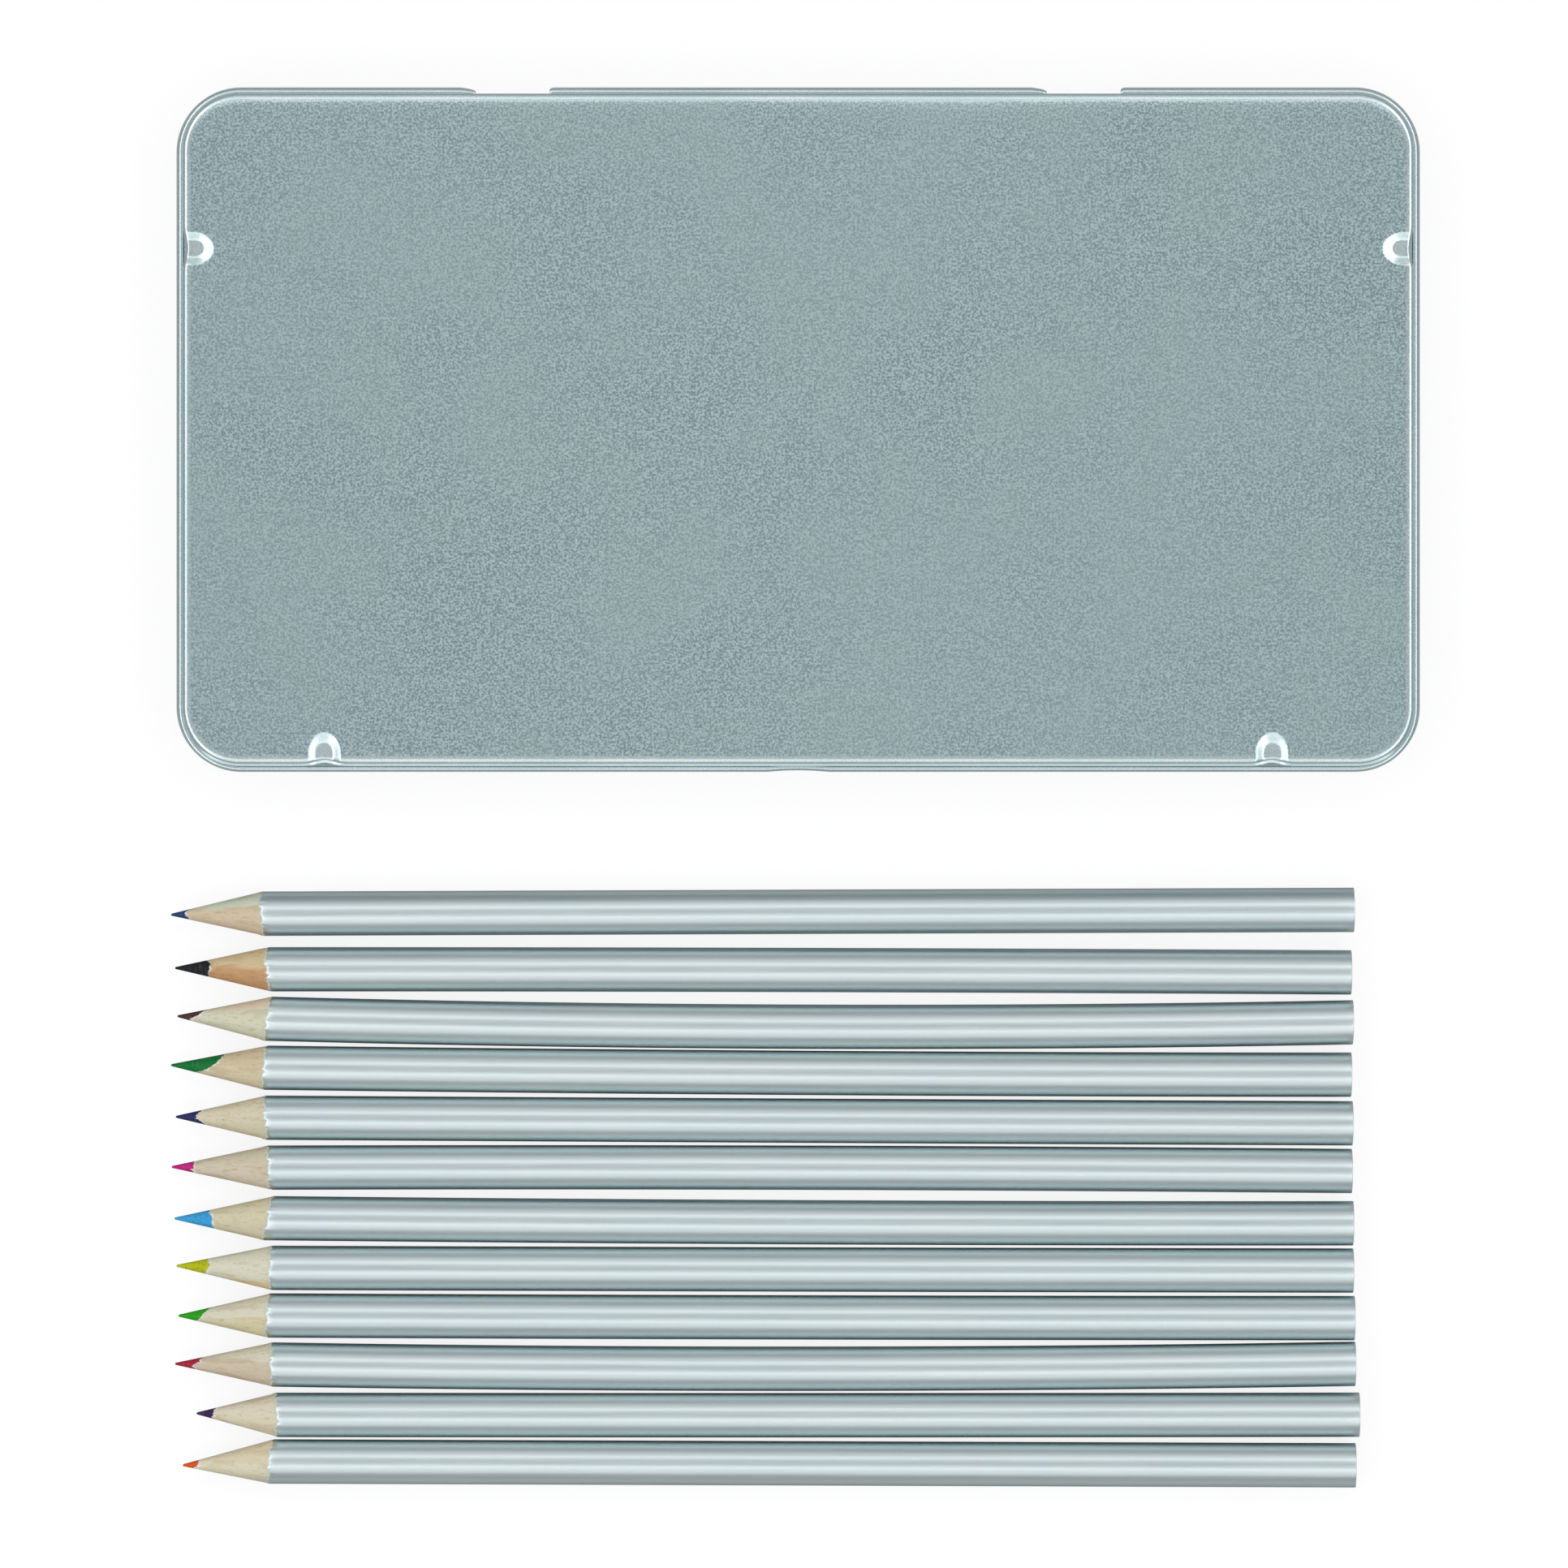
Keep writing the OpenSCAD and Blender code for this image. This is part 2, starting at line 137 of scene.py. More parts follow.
# Colours of a pencil: core, cut wood at the back, at the front, height share where they meet, smear
PAINTS = {
    "navy": (srgb(36, 68, 116), srgb(216, 223, 200), srgb(220, 201, 172), 0.35, 0.5),
    "black": (srgb(22, 28, 33), srgb(220, 198, 156), srgb(203, 157, 110), 0.45, 0.8),
    "brown": (srgb(78, 44, 48), srgb(233, 215, 190), srgb(221, 220, 193), 0.3, 0.3),
    "green": (srgb(2, 120, 54), srgb(217, 199, 164), srgb(220, 206, 174), 0.5, 0.7),
    "indigo": (srgb(44, 44, 100), srgb(225, 215, 188), srgb(221, 211, 182), 0.5, 0.4),
    "magenta": (srgb(202, 26, 132), srgb(216, 205, 180), srgb(218, 205, 182), 0.5, 0.3),
    "light_blue": (srgb(60, 168, 228), srgb(223, 214, 181), srgb(219, 209, 179), 0.5, 0.5),
    "yellow": (srgb(192, 197, 2), srgb(226, 224, 201), srgb(223, 204, 157), 0.75, 0.4),
    "light_green": (srgb(38, 168, 6), srgb(226, 222, 200), srgb(222, 213, 172), 0.55, 0.5),
    "crimson": (srgb(176, 28, 62), srgb(224, 219, 196), srgb(214, 199, 174), 0.45, 0.3),
    "purple": (srgb(64, 34, 84), srgb(229, 220, 197), srgb(228, 219, 191), 0.5, 0.4),
    "orange": (srgb(232, 88, 24), srgb(231, 219, 188), srgb(230, 223, 195), 0.45, 0.4),
}


class Nodes:
    """Short calls for building one node tree."""

    def __init__(self, tree):
        self.tree = tree
        tree.nodes.clear()

    def add(self, kind, inputs=None, **settings):
        node = self.tree.nodes.new(kind)
        for name, value in settings.items():
            setattr(node, name, value)
        for name, value in (inputs or {}).items():
            self.feed(value, node.inputs[name])
        return node

    def feed(self, value, socket):
        """Links another node's output to a socket, or sets a plain value."""
        if isinstance(value, bpy.types.NodeSocket):
            self.tree.links.new(value, socket)
        else:
            socket.default_value = value

    def math(self, operation, *values):
        return self.add("ShaderNodeMath", dict(enumerate(values)), operation=operation).outputs[0]

    def place(self):
        """Where a point lies on its own piece, in metres."""
        return self.add("ShaderNodeTexCoord").outputs["Object"]

    def fact(self, name):
        """A number that the mesh holds at each point."""
        return self.add("ShaderNodeAttribute", attribute_name=name).outputs["Fac"]

    def stretched(self, vector, scale):
        return self.add("ShaderNodeMapping", {"Vector": vector, "Scale": scale}).outputs[0]

    def noise(self, vector, scale, detail=2.0, roughness=0.5):
        return self.add("ShaderNodeTexNoise", {
            "Vector": vector, "Scale": scale, "Detail": detail, "Roughness": roughness,
        }).outputs["Fac"]

    def spread(self, value, low, high, to_low=0.0, to_high=1.0, smooth=False):
        kind = "SMOOTHSTEP" if smooth else "LINEAR"
        return self.add("ShaderNodeMapRange", {
            "Value": value, "From Min": low, "From Max": high, "To Min": to_low, "To Max": to_high,
        }, interpolation_type=kind).outputs[0]

    def blend(self, share, first, second, kind="MIX"):
        node = self.add("ShaderNodeMix", data_type="RGBA", blend_type=kind)
        for place, value in ((0, share), (6, first), (7, second)):
            self.feed(value, node.inputs[place])
        return node.outputs[2]

    def bump(self, height, strength, distance):
        return self.add("ShaderNodeBump", {
            "Height": height, "Strength": strength, "Distance": distance}).outputs[0]

    def finish(self, shader, kind="ShaderNodeOutputMaterial"):
        self.add(kind, {"Surface": shader.outputs[0]})

    def surface(self, inputs):
        self.finish(self.add("ShaderNodeBsdfPrincipled", inputs))


def new_material(name):
    material = bpy.data.materials.new(name)
    material.use_nodes = True
    return material, Nodes(material.node_tree)


def wear(obj, *materials):
    obj.data.materials.clear()
    for material in materials:
        obj.data.materials.append(material)


def grid_faces(rows, columns, wrap_rows=False, wrap_columns=False):
    """Quads over a grid of points stored row by row."""
    row = np.arange(rows if wrap_rows else rows - 1)[:, None]
    column = np.arange(columns if wrap_columns else columns - 1)[None, :]
    below, right = (row + 1) % rows, (column + 1) % columns
    quads = [row * columns + column, row * columns + right,
             below * columns + right, below * columns + column]
    return np.stack(quads, -1).reshape(-1, 4)


def new_piece(name, points, faces, body, replaced, facts):
    """Closed mesh from points in millimetres, riding on a body in place of a node of the model."""
    mesh = bpy.data.meshes.new(name)
    mesh.from_pydata((np.asarray(points) * MM).tolist(), [], faces)
    for fact, values in facts.items():
        held = mesh.attributes.new(fact, "FLOAT", "POINT").data
        held.foreach_set("value", np.asarray(values, np.float32))
    work = bmesh.new()
    work.from_mesh(mesh)
    bmesh.ops.recalc_face_normals(work, faces=work.faces)
    work.to_mesh(mesh)
    work.free()
    mesh.shade_smooth()
    mesh.set_sharp_from_angle(angle=math.radians(SHARP_DEGREES))
    piece = bpy.data.objects.new(name, mesh)
    bpy.context.scene.collection.objects.link(piece)
    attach(piece, body)
    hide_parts(replaced)
    return piece


def ease(value):
    share = np.clip(value, 0, 1)
    return share * share * (3 - 2 * share)


# The pencils

class Pencil:
    """Shape of one pencil in its own frame: tip at the origin, length along X."""

    def __init__(self, name, order, row_y):
        (self.shift, _, turn, used, self.cone_l, self.tip_y, self.edge_y,
         core_d, self.core_y, self.core_z, glue, self.bow) = PENCILS[name]
        self.name = name
        self.length = PENCIL_L - used
        self.core_r = core_d / 2
        self.row_y = row_y
        self.turn = math.radians(turn)
        self.random = np.random.default_rng(100 + order)
        self.angle = math.radians(90 - glue) + TAU * np.arange(AROUND) / AROUND
        self.core_end = self.find_core_end()

    def cone_axis(self, x):
        return self.tip_y + (self.edge_y - self.tip_y) * x / self.cone_l

    def cone_radius(self, x):
        return TIP_R + (PENCIL_R - TIP_R) * x / self.cone_l

    def on_cone(self, x, sink=1.0):
        """Points of the cone at distances x from the tip, one for each direction round the axis."""
        axis, radius = self.cone_axis(x), self.cone_radius(x)
        lean = np.arcsin(np.clip(axis * np.sin(self.angle) / radius, -0.97, 0.97))
        turned = self.angle + lean * ease(radius / 0.5)
        radius = radius * sink
        return np.stack([x, axis + radius * np.cos(turned), radius * np.sin(turned)], -1), turned

    def wave(self, cycles, size):
        """Small uneven wave round the pencil."""
        total = np.zeros(AROUND)
        for count in cycles:
            phase = self.random.uniform(0, TAU)
            total += np.cos(count * self.angle + phase) * self.random.uniform(0.4, 1)
        return size * total / math.sqrt(len(cycles))

    def find_core_end(self):
        shares, ends = np.array(CORE_ENDS[self.name]).T
        rough = self.wave(CORE_WAVES, CORE_WAVE_SIZE)
        end = np.full(AROUND, ends.mean())
        for _ in range(4):
            _, turned = self.on_cone(end)
            across = (1 - np.cos(turned)) / 2
            seen = np.interp(across, shares, ends)
            hidden = ends[0] + (ends[-1] - ends[0]) * across
            end = np.where(np.sin(turned) >= 0, seen, hidden) + rough
        return end

    def cut(self, radius):
        """Where the cone reaches a radius, for each direction."""
        y, z = radius * np.cos(self.angle), radius * np.sin(self.angle)
        low, high = np.full(AROUND, 0.4 * self.cone_l), np.full(AROUND, 1.5 * self.cone_l)
        for _ in range(40):
            middle = (low + high) / 2
            inside = np.hypot(y - self.cone_axis(middle), z) > self.cone_radius(middle)
            low, high = np.where(inside, middle, low), np.where(inside, high, middle)
        return (low + high) / 2

    def stations(self, start):
        """Distances from the tip at which a long piece follows the bow."""
        middle = np.arange(20.0, self.length - 2, ROW_STEP)
        return np.concatenate([[start], middle, [self.length]])

    def ring(self, x, radius, y=0.0, z=0.0):
        x = np.broadcast_to(x, (AROUND,))
        return np.stack([x, y + radius * np.cos(self.angle), z + radius * np.sin(self.angle)], -1)

    def placed(self, points):
        """Turned, bowed and laid in the row."""
        points = np.array(points, float).reshape(-1, 3)
        half = self.length / 2
        x = points[:, 0] - half
        y = points[:, 1] - self.bow * (1 / 3 - (x / half) ** 2)
        return np.stack([
            TIN_LEFT + self.shift + half + x * math.cos(self.turn) - y * math.sin(self.turn),
            self.row_y + x * math.sin(self.turn) + y * math.cos(self.turn),
            points[:, 2] + PENCIL_R,
        ], -1)

    def add(self, part, points, faces, slot, facts):
        local = np.array(points, float).reshape(-1, 3)
        facts = dict(facts, aside=local[:, 1] / PENCIL_R)
        return new_piece(f"{self.name}_{part}", self.placed(points), faces, "pencil_" + self.name,
                         f"pencil_{self.name}_{part}", facts)

    def make_core(self, material):
        end = self.core_end
        rings = [self.ring(x, share * TIP_R, self.tip_y) for x, share in CORE_TIP]
        for share in np.linspace(0, 1, CORE_ROWS):
            rings.append(self.on_cone(CORE_START + (end - CORE_START) * share)[0])
        under, sink = CORE_UNDER
        rings.append(self.on_cone(end + under, sink)[0])
        for x in self.stations(end.max() + PAST_CORE):
            rings.append(self.ring(x, self.core_r, self.core_y, self.core_z))
        points = np.concatenate(rings)
        last = len(points)
        ends = [[0, self.tip_y, 0], [self.length, self.core_y, self.core_z]]
        points = np.concatenate([points, ends])
        faces = grid_faces(len(rings), AROUND, wrap_columns=True).tolist()
        for k in range(AROUND):
            faces.append((last, (k + 1) % AROUND, k))
            faces.append((last + 1, last - AROUND + k, last - AROUND + (k + 1) % AROUND))
        to_wood = np.tile(end, len(rings)) - points[:last, 0]
        facts = {"to_wood": np.concatenate([to_wood, [9, 0]])}
        wear(self.add("core", points, faces, "core_" + self.name, facts), material)

    def make_slats(self, lip, material):
        end = self.core_end
        rings, past, left = [], [], []
        for share in np.linspace(0, 1, WOOD_ROWS):
            x = end + (lip - end) * share
            rings.append(self.on_cone(x)[0])
            past.append(x - end)
            left.append(lip - x)
        rings[-1] = self.ring(lip, WOOD_R)
        hidden = [self.ring(x, WOOD_R) for x in self.stations(lip.max() + PAST_LIP)]
        hidden += [self.ring(x, self.core_r, self.core_y, self.core_z)
                   for x in self.stations(end.max() + PAST_CORE)[::-1]]
        under, sink = WOOD_UNDER
        hidden.append(self.on_cone(end + under, sink)[0])
        rings += hidden
        past += [np.full(AROUND, FAR_PAST)] * len(hidden)
        left += [np.full(AROUND, NOT_LEFT)] * len(hidden)
        rings, past, left = np.array(rings), np.array(past), np.array(left)
        half = AROUND // 2
        # The first half turn from the glue plane is the front slat, the second the back one
        for part, start in (("slat_front", 0), ("slat_back", half)):
            columns = (np.arange(half + 1) + start) % AROUND
            points = rings[:, columns]
            rows, count = points.shape[:2]
            faces = grid_faces(rows, count, wrap_rows=True).tolist()
            faces.append(list(range(0, rows * count, count)))
            faces.append(list(range(count - 1, rows * count, count))[::-1])
            facts = {"past_core": past[:, columns].ravel(), "to_lacquer": left[:, columns].ravel()}
            wear(self.add(part, points, faces, "wood", facts), material)

    def make_lacquer(self, lip_in, lip_out, lacquer, primer):
        lip = lip_in + (lip_out - lip_in) * self.random.uniform(0.3, 0.6, AROUND)
        rings = [self.ring(lip_in, WOOD_R), self.ring(lip, WOOD_R + 0.45 * LACQUER_T),
                 self.ring(lip_out, PENCIL_R)]
        for x in self.stations(lip_out.max() + PAST_LIP)[:-1]:
            rings.append(self.ring(x, PENCIL_R))
        for back, radius in BUTT_EDGE:
            rings.append(self.ring(self.length - back, radius))
        for x in self.stations(lip_in.max() + PAST_LIP)[::-1]:
            rings.append(self.ring(x, WOOD_R))
        rows = len(rings)
        faces = grid_faces(rows, AROUND, wrap_rows=True, wrap_columns=True).tolist()
        piece = self.add("lacquer", rings, faces, "silver_lacquer", {})
        wear(piece, lacquer, primer)
        # The first ring of faces is the cut edge
        zones = np.zeros(len(faces), np.int32)
        zones[:AROUND] = 1
        piece.data.polygons.foreach_set("material_index", zones)

    def make(self, lacquer, primer, wood, core):
        lip_wave = self.wave(LIP_WAVES, LIP_SIZE)
        lip_in = self.cut(WOOD_R) + lip_wave
        lip_out = self.cut(PENCIL_R) + lip_wave * LIP_FOLLOW + self.wave(FINE_WAVES, FINE_SIZE)
        lip_in = np.minimum(lip_in, lip_out - LIP_WIDTH)
        self.make_core(core)
        self.make_slats(lip_in, wood)
        self.make_lacquer(lip_in, lip_out, lacquer, primer)


def lacquer_material():
    """Silver lacquer over wood: long soft streaks from brushing, and fine flakes."""
    material, make = new_material("silver_lacquer")
    place = make.place()
    streak = make.noise(make.stretched(place, (60, 2600, 2600)), 1.0, 3.0, 0.6)
    patch = make.noise(make.stretched(place, (25, 250, 250)), 1.0, 2.0)
    flake = make.noise(place, 5200, 1.0)
    tone = make.blend(make.spread(streak, 0.3, 0.7), (0.65, 0.74, 0.75, 1), (0.705, 0.785, 0.79, 1))
    tone = make.blend(make.spread(patch, 0.35, 0.65, 0.0, 0.35), tone, (0.63, 0.72, 0.75, 1))
    rough = make.spread(streak, 0.3, 0.7, 0.31, 0.37)
    height = make.math("ADD", make.math("MULTIPLY", streak, 0.7), make.math("MULTIPLY", flake, 0.3))
    make.surface({
        "Base Color": tone, "Metallic": 1.0, "Roughness": rough,
        "Specular Tint": (0.35, 0.42, 0.45, 1.0),
        "Normal": make.bump(height, 0.045, 0.00004)})
    return material


def primer_material():
    """The pale edge where the sharpener has cut the lacquer."""
    material, make = new_material("cut_lacquer")
    place = make.place()
    grain = make.noise(place, 2600, 3.0, 0.6)
    tone = make.blend(make.spread(grain, 0.35, 0.65), srgb(196, 204, 196), srgb(232, 236, 230))
    make.surface({"Base Color": tone, "Roughness": 0.55, "Normal": make.bump(grain, 0.3, 0.00005)})
    return material


def wood_material(name):
    """Bare sharpened wood of one pencil, with pigment dragged onto it next to the core."""
    core, back, front, meeting, smear = PAINTS[name]
    material, make = new_material("wood_" + name)
    place = make.place()
    aside, past, left = make.fact("aside"), make.fact("past_core"), make.fact("to_lacquer")
    fibre = make.noise(make.stretched(place, (170, 2100, 2100)), 1.0, 4.0, 0.66)
    ring = make.noise(make.stretched(place, (45, 700, 700)), 1.0, 2.0, 0.5)
    pore = make.noise(make.stretched(place, (700, 9000, 9000)), 1.0, 2.0, 0.5)
    # The two woods meet along the pencil, a little unevenly
    wander = make.math("MULTIPLY", make.math("SUBTRACT", ring, 0.5), 0.5)
    across = make.math("ADD", make.math("MULTIPLY_ADD", aside, -0.5, 0.5), wander)
    tone = make.blend(make.spread(across, meeting - 0.07, meeting + 0.07, smooth=True), back, front)
    dark = make.blend(1.0, tone, (0.74, 0.62, 0.50, 1), "MULTIPLY")
    pale = make.blend(0.35, tone, srgb(240, 232, 214))
    tone = make.blend(make.spread(fibre, 0.44, 0.30, 0.0, 0.8), tone, dark)
    tone = make.blend(make.spread(fibre, 0.56, 0.72, 0.0, 0.6), tone, pale)
    tone = make.blend(make.spread(ring, 0.58, 0.68, 0.0, 0.35), tone, dark)
    tone = make.blend(make.spread(pore, 0.36, 0.28, 0.0, 0.5), tone, (0.30, 0.20, 0.11, 1))
    # Pigment that the blade dragged onto the wood, and pale bruised wood, next to the core
    drag = make.math("MULTIPLY_ADD", fibre, 1.6, -0.35)
    near = make.math("SUBTRACT", make.math("MULTIPLY", drag, smear), past)
    tint = make.blend(0.72, core, tone)
    tone = make.blend(make.spread(near, 0.0, 0.35, 0.0, 0.85), tone, tint)
    reach = make.spread(make.noise(place, 1500, 3.0), 0.42, 0.7, 0.0, 0.75)
    bruise = make.math("SUBTRACT", reach, past)
    bruised = make.spread(bruise, 0.0, 0.12, 0.0, 0.8, smooth=True)
    tone = make.blend(bruised, tone, srgb(238, 238, 230))
    tone = make.blend(make.spread(left, 0.0, 0.5, 0.3, 0.0), tone, srgb(196, 192, 176))
    height = make.math("ADD", fibre, make.math("MULTIPLY", pore, 0.4))
    make.surface({
        "Base Color": tone, "Roughness": make.spread(fibre, 0.3, 0.7, 0.62, 0.8),
        "Normal": make.bump(height, 0.35, 0.00006)})
    return material


def core_material(name):
    """Waxy coloured core, with marks of the blade and a chipped pale edge."""
    core = PAINTS[name][0]
    material, make = new_material("core_" + name)
    place = make.place()
    to_wood = make.fact("to_wood")
    grain = make.noise(place, 2600, 3.0, 0.6)
    turned = make.noise(make.stretched(place, (5200, 600, 600)), 1.0, 2.0)
    dark = make.blend(1.0, core, (0.60, 0.60, 0.62, 1), "MULTIPLY")
    pale = make.blend(0.07, core, WHITE)
    tone = make.blend(make.spread(grain, 0.5, 0.32, 0.0, 0.8), core, dark)
    tone = make.blend(make.spread(turned, 0.55, 0.75, 0.0, 0.6), tone, pale)
    chip = make.math("SUBTRACT", make.math("MULTIPLY", make.noise(place, 3600, 1.0), 0.5), to_wood)
    tone = make.blend(make.spread(chip, 0.16, 0.2), tone, srgb(226, 228, 224))
    make.surface({
        "Base Color": tone, "Roughness": make.spread(grain, 0.3, 0.7, 0.5, 0.7),
        "Specular IOR Level": 0.25, "Normal": make.bump(grain, 0.3, 0.00005)})
    return material


def make_pencils():
    lacquer, primer = lacquer_material(), primer_material()
    row_y = ROW_START
    for order, name in enumerate(PENCILS):
        if order:
            row_y -= 2 * PENCIL_R + PENCILS[name][1]
        Pencil(name, order, row_y).make(lacquer, primer, wood_material(name), core_material(name))


# The lid

FRONT_DIMPLE_X, SIDE_DIMPLE_Y = 70.0, 26.6
DIMPLES = (("front", -FRONT_DIMPLE_X), ("front", FRONT_DIMPLE_X),
           ("left", SIDE_DIMPLE_Y), ("right", SIDE_DIMPLE_Y))
DIMPLE_DEPTH, DIMPLE_FLOOR, DIMPLE_TOP, DIMPLE_INSET = 0.42, 1.15, 2.5, 1.55
# What an inward distance counts for a dimple's reach, so that it is longer inward than along
DIMPLE_INWARD = 0.79
# The dent in the skirt below each dimple: depth, reach along the side, its height and reach upward
DENT_DEPTH, DENT_REACH, DENT_Z, DENT_TALL = 0.62, 1.75, 10.9, 1.15
THUMB_HALF, THUMB_DEPTH = 4.5, 0.3
GAP_HALF = TONGUE_HALF + CURL_STOP
# Pressed forms fade out down the skirt: the height where they end, and over what height
FADE_Z, FADE_SPAN = 9.5, 1.7
# The bend from panel to skirt: inward and down, in front and beside, and what the back adds
BEND_IN, BEND_IN_BACK, BEND_DOWN, BEND_DOWN_BACK = 0.9, 0.2, 0.42, 0.13
# The narrow ledge of the front skirt: how far out, its top and its height
LEDGE_OUT, LEDGE_TOP, LEDGE_H = 0.35, 10.55, 0.15
# The panel's fall at the back edge, all along it and round one place: depth, reach inward
ROLL_OFF, ROLL_OFF_REACH = 0.13, 1.0
SAG, SAG_REACH, SAG_X, SAG_HALF = 0.1, 3.0, 24, 18
# The curl tapers to the gaps of the tongues: length of the taper, size at the end
TAPER_BEFORE, SIZE_BEFORE, TAPER_AFTER, SIZE_AFTER = 2.2, 0.5, 0.6, 0.78

# Stops along a side: coarse and least spacing; reach and spacing at a dimple and at the thumb
COARSE, LEAST, AT_DIMPLE, AT_THUMB = 3, 0.06, (4.2, 0.17), (5.4, 0.4)
CORNER_STEPS = 24


def side_stops(half, spots):
    """Places along a side: coarse, with dense (middle, reach, step) and exact (place,) spots."""
    stops = set(np.round(np.linspace(-half, half, int(2 * half / COARSE) + 1), 3))
    for spot in spots:
        if len(spot) == 1:
            stops.add(spot[0])
            continue
        middle, reach, step = spot
        stops = {s for s in stops if abs(s - middle) > reach or abs(s) == half}
        count = int(2 * reach / step) + 1
        stops |= set(np.round(np.linspace(middle - reach, middle + reach, count), 3))
    ordered = sorted(stops)
    exact = {spot[0] for spot in spots if len(spot) == 1} | {half, -half}
    kept = [ordered[0]]
    for stop in ordered[1:]:
        if stop - kept[-1] < LEAST:
            if stop in exact:
                kept[-1] = stop
            continue
        kept.append(stop)
    return np.array(kept)


def lid_stations():
    """Round the lid: point on the rectangle of the corner middles, way out, side, place on it."""
    gaps = []
    for middle in (-HINGE_X, HINGE_X):
        gaps += [(middle - GAP_HALF - 1.2, 1.8, 0.2), (middle + GAP_HALF + 0.4, 0.9, 0.15)]
        gaps += [(middle + edge,) for edge in (-GAP_HALF, -TONGUE_HALF, TONGUE_HALF, GAP_HALF)]
    front = [(place, *AT_DIMPLE) for name, place in DIMPLES if name == "front"]
    front.append((0.0, *AT_THUMB))
    beside = [(SIDE_DIMPLE_Y, *AT_DIMPLE)]
    base, out, side, place = [], [], [], []

    def add(x, y, nx, ny, name, along):
        base.append((x, y))
        out.append((nx, ny))
        side.append(name)
        place.append(along)

    def corner(sx, sy, first):
        for step in range(1, CORNER_STEPS):
            turn = math.radians(first + 90 * step / CORNER_STEPS)
            add(sx * CORE_X, sy * CORE_W, math.cos(turn), math.sin(turn), "corner", 0.0)

    for y in side_stops(CORE_W, beside):
        add(CORE_X, y, 1, 0, "right", y)
    corner(1, 1, 0)
    for x in side_stops(CORE_X, gaps)[::-1]:
        add(x, CORE_W, 0, 1, "back", x)
    corner(-1, 1, 90)
    for y in side_stops(CORE_W, beside)[::-1]:
        add(-CORE_X, y, -1, 0, "left", y)
    corner(-1, -1, 180)
    for x in side_stops(CORE_X, front):
        add(x, -CORE_W, 0, -1, "front", x)
    corner(1, -1, 270)
    return np.array(base), np.array(out, float), np.array(side), np.array(place)


def lid_rows():
    """Outer and inner points of the sheet, as distance and height, from the panel to the lip."""
    rows, turns = [], []
    bend_d, bend_z = CORNER_R - EDGE_R, CLOSED_H - EDGE_R
    for d in np.concatenate([[1.2, 2.2, 2.8], np.arange(3.2, bend_d - 0.1, 0.17), [bend_d]]):
        rows.append((d, CLOSED_H, d, CLOSED_H - SHEET))
    for turn in np.radians(np.arange(81, -1, -9)):
        c, s = math.cos(turn), math.sin(turn)
        turns.append((len(rows), turn))
        rows.append((bend_d + EDGE_R * c, bend_z + EDGE_R * s,
                     bend_d + (EDGE_R - SHEET) * c, bend_z + (EDGE_R - SHEET) * s))
    heights = np.concatenate([np.arange(10.85, 9.3, -0.15), [9.0, 8.5, 8.0, 7.5, 7.1, CURL_Z]])
    for z in heights:
        rows.append((CORNER_R, z, CORNER_R - SHEET, z))
    skirt_end = len(rows) - 1
    curl_d = CORNER_R - SHEET + CURL_R
    for turn in np.radians(np.linspace(180, ROLL_END, 30)[1:]):
        c, s = math.cos(turn), math.sin(turn)
        turns.append((len(rows), turn))
        rows.append((curl_d + (CURL_R - SHEET) * c, CURL_Z + (CURL_R - SHEET) * s,
                     curl_d + CURL_R * c, CURL_Z + CURL_R * s))
    curl_end = len(rows) - 1
    for z in np.linspace(CURL_Z, HINGE_Z, 6)[1:]:
        rows.append((CORNER_R, z, CORNER_R - SHEET, z))
    for turn in -np.radians(np.linspace(0, TONGUE_WRAP, 15)[1:]):
        c, s = math.cos(turn), math.sin(turn)
        rows.append((HINGE_DISTANCE + TONGUE_R * c, HINGE_Z + TONGUE_R * s,
                     HINGE_DISTANCE + (TONGUE_R - SHEET) * c, HINGE_Z + (TONGUE_R - SHEET) * s))
    return np.array(rows), turns, skirt_end, curl_end


def formed(rows, turns, skirt_end, out):
    """Outer and inner points at each station: softer bend at the back, narrow ledge in front."""
    back, front = ease(out[:, 1]), ease(-out[:, 1])
    bend_d, bend_z = BEND_IN + BEND_IN_BACK * back, BEND_DOWN + BEND_DOWN_BACK * back
    flare = LEDGE_OUT * front
    curl_r = CURL_R - flare / 2
    faces = []
    for column, thickness in ((0, 0.0), (2, SHEET)):
        d = np.tile(rows[:, column], (len(out), 1))
        z = np.tile(rows[:, column + 1], (len(out), 1))
        leaning = np.arange(len(rows)) <= skirt_end
        below_top = np.clip((LEDGE_TOP - rows[:, 1]) / LEDGE_H, 0, 1)
        d += np.where(leaning, flare[:, None] * below_top, 0.0)
        for row, turn in turns:
            if row < skirt_end:
                d[:, row] = CORNER_R - bend_d + (bend_d - thickness) * math.cos(turn)
                z[:, row] = CLOSED_H - bend_z + (bend_z - thickness) * math.sin(turn)
            else:
                radius = curl_r - SHEET + thickness
                d[:, row] = CORNER_R + flare - SHEET + curl_r + radius * math.cos(turn)
                z[:, row] = CURL_Z + radius * math.sin(turn)
        faces.append((d, z))
    return faces


def tapered(distance, length, least):
    """Size of the curl at a distance from its end: least at the end, full past the taper."""
    grown = least + (1 - least) * np.sqrt(np.clip(distance / length, 0, 1))
    return np.where((distance >= -0.01) & (distance < length), grown, 1.0)


